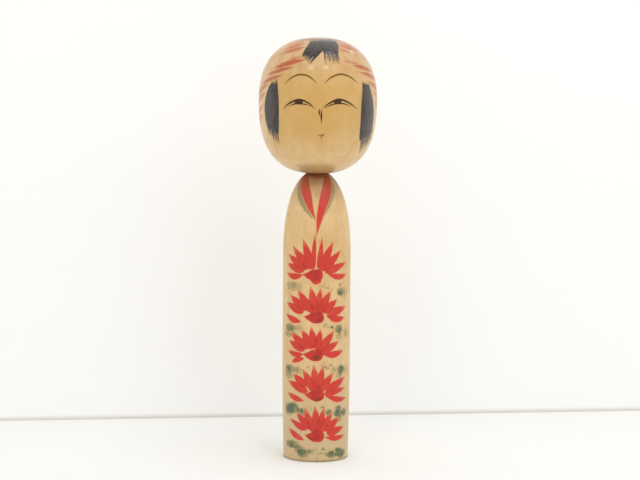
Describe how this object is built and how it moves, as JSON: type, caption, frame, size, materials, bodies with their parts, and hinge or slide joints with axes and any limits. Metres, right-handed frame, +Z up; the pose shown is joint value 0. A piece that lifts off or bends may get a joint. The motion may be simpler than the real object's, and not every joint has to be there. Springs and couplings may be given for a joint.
{
  "type": "kokeshi doll",
  "caption": "Turned wooden doll with a round head that plugs onto a bullet-shouldered limbless body, painted with a calm face and stacked red flowers.",
  "frame": {"origin": "middle of the foot's underside, on the surface the doll stands on", "axes": "+Z up along the turning axis from foot to crown, the face looks along -Y, +X is to the right of someone who looks at the face"},
  "size_m": [0.085, 0.085, 0.303],
  "materials": {
    "body_wood": "waxed, aged, brushed dye painting",
    "head_wood": "waxed, aged to honey, soft gloss",
    "peg_wood": "bare, as turned",
    "black_ink": "thin black ink brushed on wood and waxed over",
    "red_dye": "thin red dye brushed on wood and waxed over",
    "green_dye": "thin faded green dye brushed on wood and waxed over"
  },
  "bodies": {
    "body": {"body": "body_wood", "neck_peg": "peg_wood"},
    "head": {"head": "head_wood"}
  },
  "joints": [
    {"name": "head_turn", "type": "hinge", "parent": "body", "child": "head", "pos_m": [0, 0, 0.206], "axis": [0, 0, 1], "continuous": true}
  ]
}
